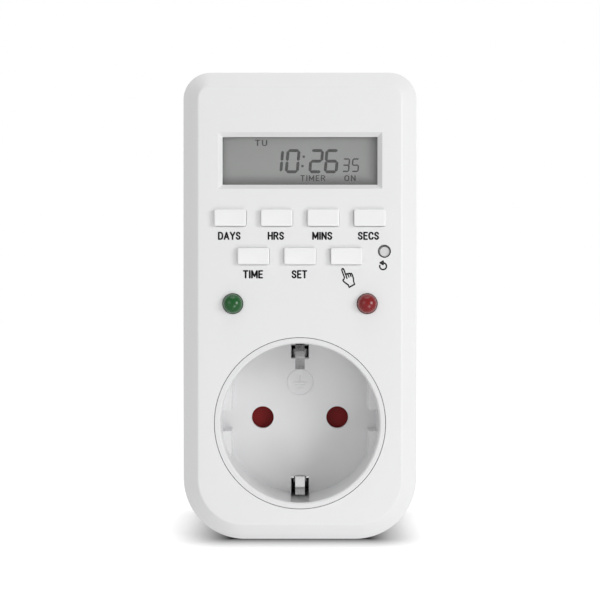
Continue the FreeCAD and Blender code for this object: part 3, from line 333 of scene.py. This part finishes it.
windowLook = {"colour": (0.96, 0.97, 0.965), "rough": 0.03, "ior": 1.49}

resinLooks = {
    "lamp_green": {"colour": (0.001, 0.085, 0.011), "rough": 0.3},
    "lamp_red": {"colour": (0.21, 0.002, 0.004), "rough": 0.3},
    "fuse_glass": {"colour": (0.75, 0.8, 0.8), "rough": 0.05},
}
resinFinish = {"shine": 0.25, "coat": 0.6, "coatRough": 0.14}

# the shade comes in over the film's foot and its right edge, in millimetres
displayLook = {
    "colour": (0.345, 0.345, 0.34),
    "shade": (0.15, 0.15, 0.15),
    "rough": 0.3,
    "footFrom": 89.6,
    "footTo": 86.2,
    "sideFrom": 15.5,
    "sideTo": 19.6,
}

seamShade = {"radius": 20.56, "start": 0.02, "end": 2.1, "colour": (0.04, 0.04, 0.04)}

inkLook = {"colour": (0.014, 0.014, 0.016), "rough": 0.8, "shine": 0.15}

# clouds and patches are noise scales: the colour strays from its look by the tint's share with
# the clouds, and the roughness strays with the patches, or with the clouds where there are none
wearSettings = {
    "plastic": {"clouds": 45, "tint": 0.012, "patches": 160, "smoother": 0.03, "rougher": 0.03},
    "metal": {"clouds": 900, "tint": 0.04, "smoother": 0.06, "rougher": 0.08},
    "window": {"clouds": 30, "tint": 0.005, "patches": 400, "smoother": 0.01, "rougher": 0.02},
    "resin": {"clouds": 500, "tint": 0.08, "patches": 900, "smoother": 0.03, "rougher": 0.04},
    "display": {"clouds": 260, "tint": 0.03, "patches": 700, "smoother": 0.04, "rougher": 0.05},
    "ink": {"clouds": 1400, "tint": 0.25, "smoother": 0.05, "rougher": 0.08},
}


def startMaterial(name):
    material = bpy.data.materials.new(name)
    material.use_nodes = True
    tree = material.node_tree
    place = tree.nodes.new("ShaderNodeTexCoord")
    return material, tree, tree.nodes["Principled BSDF"], place.outputs["Object"]


def noiseOn(tree, place, scale, detail=3.0):
    noise = tree.nodes.new("ShaderNodeTexNoise")
    noise.inputs["Scale"].default_value = scale
    noise.inputs["Detail"].default_value = detail
    tree.links.new(place, noise.inputs["Vector"])
    return noise.outputs["Fac"]


def addWear(tree, shader, place, look, kind):
    # gives the look's colour and roughness, and returns the clouds in them
    wear = wearSettings[kind]
    clouds = noiseOn(tree, place, wear["clouds"])
    darker = [part * (1 - wear["tint"]) for part in look["colour"]]
    lighter = [min(1, part * (1 + wear["tint"])) for part in look["colour"]]
    tree.links.new(colourMix(tree, clouds, opaque(darker), opaque(lighter)),
                   shader.inputs["Base Color"])
    patches = noiseOn(tree, place, wear["patches"]) if "patches" in wear else clouds
    rough = rangeNode(tree, patches, low=look["rough"] - wear["smoother"],
                      high=look["rough"] + wear["rougher"])
    tree.links.new(rough, shader.inputs["Roughness"])
    return clouds


def addBumps(tree, shader, height, strength, depth):
    bump = tree.nodes.new("ShaderNodeBump")
    bump.inputs["Strength"].default_value = strength
    bump.inputs["Distance"].default_value = depth * mm
    tree.links.new(height, bump.inputs["Height"])
    tree.links.new(bump.outputs["Normal"], shader.inputs["Normal"])


def shadeOver(tree, factor, colour):
    # lays the colour over the material's own where the factor is 1
    base = tree.nodes["Principled BSDF"].inputs["Base Color"]
    own = base.links[0].from_socket
    tree.links.new(colourMix(tree, factor, own, opaque(colour)), base)


def plastic(name, look):
    material, tree, shader, place = startMaterial(name)
    addWear(tree, shader, place, look, "plastic")
    fine = noiseOn(tree, place, look["scale"], plasticFinish["detail"])
    addBumps(tree, shader, fine, look["grain"], plasticFinish["depth"])
    shader.inputs["Specular IOR Level"].default_value = look.get("shine", plasticFinish["shine"])
    return material


def metal(name, look):
    material, tree, shader, place = startMaterial(name)
    stretch = tree.nodes.new("ShaderNodeMapping")
    stretch.inputs["Scale"].default_value = look["along"]
    tree.links.new(place, stretch.inputs["Vector"])
    lines = addWear(tree, shader, stretch.outputs["Vector"], look, "metal")
    addBumps(tree, shader, lines, metalFinish["strength"], metalFinish["depth"])
    shader.inputs["Metallic"].default_value = 1.0
    return material


def clearWindow():
    material, tree, shader, place = startMaterial("clear_window")
    addWear(tree, shader, place, windowLook, "window")
    shader.inputs["Transmission Weight"].default_value = 1.0
    shader.inputs["IOR"].default_value = windowLook["ior"]
    return material


def tintedResin(name, look):
    material, tree, shader, place = startMaterial(name)
    addWear(tree, shader, place, look, "resin")
    shader.inputs["Specular IOR Level"].default_value = resinFinish["shine"]
    shader.inputs["Coat Weight"].default_value = resinFinish["coat"]
    shader.inputs["Coat Roughness"].default_value = resinFinish["coatRough"]
    return material


def displayGlass():
    # grey reflective film, darker towards its foot and its right edge
    material, tree, shader, place = startMaterial("display_glass")
    addWear(tree, shader, place, displayLook, "display")
    across, _, up = placeAxes(tree)
    foot = rangeNode(tree, up, displayLook["footFrom"] * mm, displayLook["footTo"] * mm,
                     way="SMOOTHSTEP")
    side = rangeNode(tree, across, displayLook["sideFrom"] * mm, displayLook["sideTo"] * mm,
                     way="SMOOTHSTEP")
    shadeOver(tree, mathNode(tree, "MAXIMUM", foot, side), displayLook["shade"])
    return material


def ink(name, colour):
    material, tree, shader, place = startMaterial(name)
    addWear(tree, shader, place, {**inkLook, "colour": colour}, "ink")
    shader.inputs["Specular IOR Level"].default_value = inkLook["shine"]
    return material


def shadeSeam(material):
    # the narrow gap round the outlet is dark, so the side of the insert's rim is painted dark
    tree = material.node_tree
    across, deep, up = placeAxes(tree)
    middle = middleOf("socket_insert")
    reach = distanceNode(tree, mathNode(tree, "SUBTRACT", across, middle.x),
                         mathNode(tree, "SUBTRACT", up, middle.z))
    behind = mathNode(tree, "GREATER_THAN", deep, frontY + seamShade["start"] * mm)
    before = mathNode(tree, "LESS_THAN", deep, frontY + seamShade["end"] * mm)
    outside = mathNode(tree, "GREATER_THAN", reach, seamShade["radius"] * mm)
    inSeam = mathNode(tree, "MULTIPLY", mathNode(tree, "MULTIPLY", behind, before), outside)
    shadeOver(tree, inSeam, seamShade["colour"])


materials = {name: plastic(name, look) for name, look in plasticLooks.items()}
materials.update({name: metal(name, look) for name, look in metalLooks.items()})
materials.update({name: tintedResin(name, look) for name, look in resinLooks.items()})
materials["clear_window"] = clearWindow()
materials["display_glass"] = displayGlass()
shadeSeam(materials["outlet_white"])

slotOf = {row["node"]: row["material_slot"] for row in frame["record"]["subparts"]}


def dressNodes():
    for name, node in nodes.items():
        node.data.materials.clear()
        node.data.materials.append(materials[slotOf[name]])


dressNodes()

# millimetres and degrees
shadingSettings = {"join": 0.002, "crease": 28}


def addCreases(item):
    split = item.modifiers.new("creases", "EDGE_SPLIT")
    split.split_angle = math.radians(shadingSettings["crease"])


def smoothNode(node):
    # joins the loose triangles and shades gentle turns as one surface
    for face in node.data.polygons:
        face.use_smooth = True
    weld = node.modifiers.new("join", "WELD")
    weld.merge_threshold = shadingSettings["join"] * mm
    addCreases(node)


for node in nodes.values():
    smoothNode(node)

print("stage: keys and reset plunger")

keyCaps = {"width": 7.76, "height": 4.12}
plungerTip = {"radius": 1.15, "shift": (0.15, -0.12)}
# the flange is looked for within the first distance of the piece's side, and the cap ends the
# second distance before it, both in millimetres
flangeSearch = {"within": 0.01, "before": 0.1}


def joinedCopy(name):
    # the node's own solid with its loose triangles joined
    bm = bmesh.new()
    bm.from_mesh(nodes[name].data)
    bmesh.ops.remove_doubles(bm, verts=bm.verts, dist=shadingSettings["join"] * mm)
    return bm


def capEnd(bm, side):
    # the flange is the widest part, and the cap ends where it starts
    widest = [v.co.y for v in bm.verts if side - v.co.x < flangeSearch["within"] * mm]
    return min(widest) - flangeSearch["before"] * mm


def copied(name, change):
    # a copy that stands for the node, with change applied to the part before its flange
    bm = joinedCopy(name)
    low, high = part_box(name)
    end = capEnd(bm, high.x)
    change(bm, [v for v in bm.verts if v.co.y < end], (low + high) / 2)
    for face in bm.faces:
        face.smooth = True
    piece = added(name + "Shape", meshFrom(bm, name + "Shape"))
    piece.data.materials.append(materials[slotOf[name]])
    addCreases(piece)
    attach(piece, name)
    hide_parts(name)


def scaleAbout(bm, verts, middle, across, up):
    space = Matrix.Translation(-Vector((middle.x, 0, middle.z)))
    bmesh.ops.scale(bm, vec=(across, 1, up), space=space, verts=verts)


def widenCap(bm, cap, middle):
    xs = [v.co.x for v in cap]
    zs = [v.co.z for v in cap]
    scaleAbout(bm, cap, middle, keyCaps["width"] * mm / (max(xs) - min(xs)),
               keyCaps["height"] * mm / (max(zs) - min(zs)))


def narrowTip(bm, tip, middle):
    reach = max(math.hypot(v.co.x - middle.x, v.co.z - middle.z) for v in tip)
    ratio = plungerTip["radius"] * mm / reach
    scaleAbout(bm, tip, middle, ratio, ratio)
    across, up = plungerTip["shift"]
    bmesh.ops.translate(bm, vec=(across * mm, 0, up * mm), verts=tip)


keyNames = sorted(name for name in nodes if name.startswith("button_"))
for name in keyNames:
    copied(name, widenCap)
copied("reset_button", narrowTip)

print("stage: keypad mat")

# a dome's faces lie within its reach of the key's middle, and more than flat before the sheet
domeSettings = {"reach": 3.0, "flat": 0.02}


def matPart(name, wanted):
    # the faces of the keypad mat that are wanted, on the housing
    bm = joinedCopy("keypad_mat")
    unwanted = [face for face in bm.faces if not wanted(face)]
    bmesh.ops.delete(bm, geom=unwanted, context="FACES")
    part = added(name, meshFrom(bm, name))
    part.data.materials.append(materials[slotOf["keypad_mat"]])
    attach(part, housing)
    return part


def makeMat():
    # the sheet stays one piece, and the dome under each key becomes a piece of its own, with a mesh
    # of its own
    low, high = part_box("keypad_mat")
    flat = domeSettings["flat"] * mm
    sheetFront = min(v.co.y for v in nodes["keypad_mat"].data.vertices if high.x - v.co.x < flat)

    def onDome(face):
        return min(v.co.y for v in face.verts) < sheetFront - flat

    sheet = matPart("matSheet", lambda face: not onDome(face))
    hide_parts("keypad_mat")
    for key in keyNames:
        middle = middleOf(key)

        def underKey(face):
            place = face.calc_center_median() - middle
            return onDome(face) and math.hypot(place.x, place.z) < domeSettings["reach"] * mm

        dome = matPart(key.replace("button", "dome"), underKey)
        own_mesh(dome)


makeMat()

print("stage: printing on the front")

# sides of the rounds, and depths in parts of the line's thickness
lineShape = {"sides": 12, "roundDepth": 0.46, "barDepth": 0.5}


def corners(mesh):
    lows = [min(v.co[axis] for v in mesh.vertices) for axis in range(3)]
    highs = [max(v.co[axis] for v in mesh.vertices) for axis in range(3)]
    return Vector(lows), Vector(highs)


def flatSize(mesh):
    low, high = corners(mesh)
    return high.x - low.x, high.y - low.y


def arc(radius, start, end, steps):
    # points round a circle, from one angle in degrees to the other
    angles = [math.radians(start + (end - start) * n / steps) for n in range(steps + 1)]
    return [(radius * math.cos(angle), radius * math.sin(angle)) for angle in angles]


def lineMesh(strokes, name, thickness, top=1.0):
    # each stroke is (points, closed), as bars with a round at every point; top is the part
    # of the thickness that the upper face keeps
    bm = bmesh.new()
    for points, closed in strokes:
        for across, up in points:
            bmesh.ops.create_cone(bm, cap_ends=True, segments=lineShape["sides"],
                                  radius1=thickness / 2, radius2=thickness / 2 * top,
                                  depth=thickness * lineShape["roundDepth"],
                                  matrix=Matrix.Translation((across, up, 0)))
        following = points[1:] + (points[:1] if closed else [])
        for start, end in zip(points, following):
            along = Vector(end) - Vector(start)
            turn = Matrix.Rotation(math.atan2(along.y, along.x), 4, "Z")
            middle = (Vector(start) + Vector(end)) / 2
            size = Matrix.Diagonal((along.length, thickness, thickness * lineShape["barDepth"], 1))
            bar = bmesh.ops.create_cube(bm, size=1)["verts"]
            for vert in bar:
                if vert.co.z > 0:
                    vert.co.y *= top
            place = Matrix.Translation((*middle, 0)) @ turn @ size
            bmesh.ops.transform(bm, matrix=place, verts=bar)
    return meshFrom(bm, name)


# plain letters as lines, 1 high, with their width
letterLines = {
    "A": (0.58, [[(0, 0), (0.29, 1), (0.58, 0)], [(0.11, 0.3), (0.47, 0.3)]]),
    "C": (0.5, [[(0.5, 0.76), (0.44, 0.93), (0.27, 1), (0.1, 0.93), (0.01, 0.72), (0, 0.5),
                 (0.01, 0.28), (0.1, 0.07), (0.27, 0), (0.44, 0.07), (0.5, 0.24)]]),
    "D": (0.52, [[(0, 0), (0, 1), (0.24, 1), (0.43, 0.91), (0.51, 0.7), (0.52, 0.5), (0.51, 0.3),
                  (0.43, 0.09), (0.24, 0), (0, 0)]]),
    "E": (0.4, [[(0.4, 1), (0, 1), (0, 0), (0.4, 0)], [(0, 0.52), (0.34, 0.52)]]),
    "H": (0.5, [[(0, 0), (0, 1)], [(0.5, 0), (0.5, 1)], [(0, 0.52), (0.5, 0.52)]]),
    "I": (0.02, [[(0.01, 0), (0.01, 1)]]),
    "M": (0.64, [[(0, 0), (0, 1), (0.32, 0.2), (0.64, 1), (0.64, 0)]]),
    "N": (0.5, [[(0, 0), (0, 1), (0.5, 0), (0.5, 1)]]),
    "O": (0.54, [[(0.27, 1), (0.1, 0.93), (0.01, 0.72), (0, 0.5), (0.01, 0.28), (0.1, 0.07),
                  (0.27, 0), (0.44, 0.07), (0.53, 0.28), (0.54, 0.5), (0.53, 0.72),
                  (0.44, 0.93), (0.27, 1)]]),
    "R": (0.5, [[(0, 0), (0, 1), (0.28, 1), (0.43, 0.93), (0.48, 0.76), (0.43, 0.58),
                 (0.28, 0.5), (0, 0.5)], [(0.26, 0.5), (0.5, 0)]]),
    "S": (0.46, [[(0.45, 0.8), (0.38, 0.94), (0.23, 1), (0.08, 0.94), (0.01, 0.77), (0.08, 0.6),
                  (0.23, 0.52), (0.38, 0.42), (0.46, 0.24), (0.38, 0.06), (0.23, 0),
                  (0.08, 0.06), (0, 0.22)]]),
    "T": (0.48, [[(0, 1), (0.48, 1)], [(0.24, 1), (0.24, 0)]]),
    "U": (0.5, [[(0, 1), (0, 0.25), (0.08, 0.06), (0.25, 0), (0.42, 0.06), (0.5, 0.25),
                 (0.5, 1)]]),
    "Y": (0.56, [[(0, 1), (0.28, 0.46), (0.56, 1)], [(0.28, 0.46), (0.28, 0)]]),
}


def wordMesh(words, name, line, spacing):
    # line and spacing are parts of the letters' height
    strokes, across = [], 0
    for letter in words:
        width, lines = letterLines[letter]
        strokes += [([(x + across, y) for x, y in points], False) for points in lines]
        across += width + line + spacing
    return lineMesh(strokes, name, line)


def placeOn(mesh, middle, size, depth, thick):
    # stands the flat mesh upright: middle (x, z), size (width, height) and the depth of its
    # own middle, all in millimetres
    low, high = corners(mesh)
    scale = Vector((size[0] / (high.x - low.x), size[1] / (high.y - low.y),
                    thick / (high.z - low.z))) * mm
    place = Matrix.Translation(spot(middle[0], depth, middle[1]))
    centred = Matrix.Translation(-(low + high) / 2)
    mesh.transform(place @ upright @ Matrix.Diagonal((*scale, 1)) @ centred)
    return mesh


def printed(meshes, name, material, body):
    # joins finished meshes into one piece
    bm = bmesh.new()
    for mesh in meshes:
        bm.from_mesh(mesh)
    bmesh.ops.recalc_face_normals(bm, faces=bm.faces)
    piece = added(name, meshFrom(bm, name))
    piece.data.materials.append(material)
    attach(piece, body)
    return piece


# millimetres, apart from line and spacing
legendLook = {
    "line": 0.23,
    "spacing": 0.05,
    "proud": 0.03,
    "words": {
        "DAYS": {"middle": (-17.15, 73.96), "size": (5.5, 1.98)},
        "HRS": {"middle": (-5.85, 73.96), "size": (4.0, 1.98)},
        "MINS": {"middle": (5.4, 73.96), "size": (4.9, 1.98)},
        "SECS": {"middle": (16.6, 73.96), "size": (5.2, 1.98)},
        "TIME": {"middle": (-11.4, 64.63), "size": (4.9, 2.04)},
        "SET": {"middle": (-0.15, 64.63), "size": (3.8, 2.04)},
    },
}

# a pointing hand, finger up, in parts of its own height, as is the line
handLook = {
    "middle": (11.7, 63.75),
    "size": (3.4, 4.9),
    "line": 0.072,
    "turn": 24,
    "outline": [
        (0.16, 0.55), (0.16, 0.93), (0.19, 0.98), (0.25, 0.98), (0.28, 0.93), (0.28, 0.62),
        (0.32, 0.66), (0.38, 0.66), (0.41, 0.61), (0.45, 0.63), (0.50, 0.62), (0.53, 0.57),
        (0.57, 0.58), (0.61, 0.56), (0.63, 0.50), (0.62, 0.30), (0.57, 0.17), (0.57, 0.02),
        (0.22, 0.02), (0.22, 0.14), (0.12, 0.28), (0.03, 0.42), (0.03, 0.48), (0.09, 0.49),
    ],
    "knuckles": [
        [(0.28, 0.62), (0.28, 0.46)], [(0.41, 0.61), (0.41, 0.47)], [(0.53, 0.57), (0.53, 0.46)],
    ],
}

# a round arrow, open over the gap's degrees from its top
resetMark = {
    "middle": (20.15, 66.8),
    "radius": 0.82,
    "line": 0.36,
    "gap": 75,
    "steps": 24,
    "headLength": 0.7,
    "headHalfWidth": 0.42,
}


def onFront(mesh, middle, size):
    return placeOn(mesh, middle, size, -legendLook["proud"] / 2, legendLook["proud"])


def legendWords():
    meshes = []
    for words, row in legendLook["words"].items():
        mesh = wordMesh(words, "legend", legendLook["line"], legendLook["spacing"])
        meshes.append(onFront(mesh, row["middle"], row["size"]))
    return meshes


def handSign():
    turn = math.radians(handLook["turn"])

    def turned(points):
        return [(x * math.cos(turn) - y * math.sin(turn), x * math.sin(turn) + y * math.cos(turn))
                for x, y in points]

    strokes = [(turned(handLook["outline"]), True)]
    strokes += [(turned(line), False) for line in handLook["knuckles"]]
    hand = lineMesh(strokes, "hand", handLook["line"])
    return onFront(hand, handLook["middle"], handLook["size"])


def resetSign():
    radius = resetMark["radius"]
    ring = arc(radius, 90 + resetMark["gap"], 90 + 360, resetMark["steps"])
    head = [(0, radius + resetMark["headHalfWidth"]), (-resetMark["headLength"], radius),
            (0, radius - resetMark["headHalfWidth"])]
    mark = lineMesh([(ring, False), (head, True)], "resetMark", resetMark["line"])
    return onFront(mark, resetMark["middle"], flatSize(mark))


printed(legendWords() + [handSign(), resetSign()], "legends", ink("legendInk", inkLook["colour"]),
        housing)

print("stage: the display's segments")

# gap and reach are parts of a stroke: what is left free beside a bar, and its pointed ends
segmentLook = {
    "colour": (0.07, 0.07, 0.068),
    "depth": 2.68,
    "thick": 0.03,
    "slant": 5.0,
    "gap": 0.34,
    "reach": 0.62,
    "wordLine": 0.17,
    "wordSpacing": 0.2,
}

# segments of a figure: top, upper right, lower right, foot, lower left, upper left, middle
figureSegments = {
    "0": (1, 1, 1, 1, 1, 1, 0), "1": (0, 1, 1, 0, 0, 0, 0), "2": (1, 1, 0, 1, 1, 0, 1),
    "3": (1, 1, 1, 1, 0, 0, 1), "5": (1, 0, 1, 1, 0, 1, 1), "6": (1, 0, 1, 1, 1, 1, 1),
}

# each figure with the place of its left side
displayFigures = [
    {"low": 89.35, "width": 3.4, "height": 5.9, "stroke": 0.72,
     "figures": [("1", -7.75), ("0", -3.75), ("2", 2.0), ("6", 5.75)]},
    {"low": 89.65, "width": 1.8, "height": 3.35, "stroke": 0.34,
     "figures": [("3", 10.2), ("5", 12.5)]},
]
displayColon = {"dots": [(0.9, 93.4), (0.6, 91.1)], "size": 0.55}
displayWords = {
    "TU": {"middle": (-9.5, 96.75), "size": (3.0, 1.5)},
    "TIMER": {"middle": (3.15, 88.15), "size": (6.1, 1.45)},
    "ON": {"middle": (12.2, 88.15), "size": (2.8, 1.45)},
}


def segmentBars(row, figure):
    # (middle, length, upright) of each lit segment, gaps left between them
    width, height, stroke = row["width"], row["height"], row["stroke"]
    gap = stroke * segmentLook["gap"]
    across = width - stroke - gap * 2
    up = (height - stroke) / 2 - gap * 2
    left, right, centre = stroke / 2, width - stroke / 2, width / 2
    foot, top, waist = stroke / 2, height - stroke / 2, height / 2
    upper, lower = (waist + top) / 2, (waist + foot) / 2
    bars = [((centre, top), across, False), ((right, upper), up, True),
            ((right, lower), up, True), ((centre, foot), across, False),
            ((left, lower), up, True), ((left, upper), up, True),
            ((centre, waist), across, False)]
    return [bar for bar, lit in zip(bars, figureSegments[figure]) if lit]


def addBar(bm, middle, length, isUpright, stroke):
    # a flat bar with pointed ends
    half, tip = length / 2, stroke / 2
    outline = [(-half, 0), (-half + tip, tip), (half - tip, tip), (half, 0), (half - tip, -tip),
               (-half + tip, -tip)]
    if isUpright:
        outline = [(-y, x) for x, y in outline]
    bm.faces.new([bm.verts.new((middle[0] + x, 0, middle[1] + y)) for x, y in outline])


def addFigure(bm, row, figure, left):
    before = len(bm.verts)
    for middle, length, isUpright in segmentBars(row, figure):
        addBar(bm, middle, length + row["stroke"] * segmentLook["reach"], isUpright, row["stroke"])
    bm.verts.ensure_lookup_table()
    lean = math.tan(math.radians(segmentLook["slant"]))
    for vert in bm.verts[before:]:
        vert.co.x += vert.co.z * lean + left
        vert.co.z += row["low"]


def figuresMesh():
    # flat in millimetres first, then given its thickness and its place
    bm = bmesh.new()
    for row in displayFigures:
        for figure, left in row["figures"]:
            addFigure(bm, row, figure, left)
    for x, z in displayColon["dots"]:
        bmesh.ops.create_grid(bm, x_segments=1, y_segments=1, size=displayColon["size"] / 2,
                              matrix=Matrix.Translation((x, 0, z)) @ upright)
    plate = bmesh.ops.extrude_face_region(bm, geom=bm.faces[:])
    moved = [item for item in plate["geom"] if isinstance(item, bmesh.types.BMVert)]
    bmesh.ops.translate(bm, verts=moved, vec=(0, segmentLook["thick"], 0))
    bmesh.ops.scale(bm, vec=(mm, mm, mm), verts=bm.verts)
    bmesh.ops.translate(bm, verts=bm.verts, vec=spot(0, segmentLook["depth"], 0))
    return meshFrom(bm, "figures")


def makeSegments():
    meshes = [figuresMesh()]
    for words, row in displayWords.items():
        word = wordMesh(words, "displayWord", segmentLook["wordLine"], segmentLook["wordSpacing"])
        meshes.append(placeOn(word, row["middle"], row["size"], segmentLook["depth"],
                              segmentLook["thick"]))
    printed(meshes, "displaySegments", ink("segmentInk", segmentLook["colour"]), housing)


makeSegments()

print("stage: the raised mark on the outlet's floor")

# the outlet's floor is found from the shutter behind it
floorMark = {
    "middle": (0.05, 37.4),
    "beforeShutter": 2.3,
    "radius": 3.25,
    "steps": 48,
    "line": 0.42,
    "rise": 0.16,
    "top": 0.35,
    "stem": (0.1, 1.7),
    "bars": [(1.75, 0.0), (1.15, -0.75), (0.6, -1.45)],
}


def makeFloorMark():
    ring = arc(floorMark["radius"], 0, 360, floorMark["steps"])[:-1]
    strokes = [(ring, True), ([(0, height) for height in floorMark["stem"]], False)]
    strokes += [([(-half, level), (half, level)], False) for half, level in floorMark["bars"]]
    mesh = lineMesh(strokes, "floorMark", floorMark["line"], floorMark["top"])
    depth = (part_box("shutter")[0].y - frontY) / mm - floorMark["beforeShutter"]
    # half of its thickness is sunk in the floor
    placeOn(mesh, floorMark["middle"], flatSize(mesh), depth, floorMark["rise"] * 2)
    return printed([mesh], "outletMark", materials["outlet_white"], housing)


outletMark = makeFloorMark()
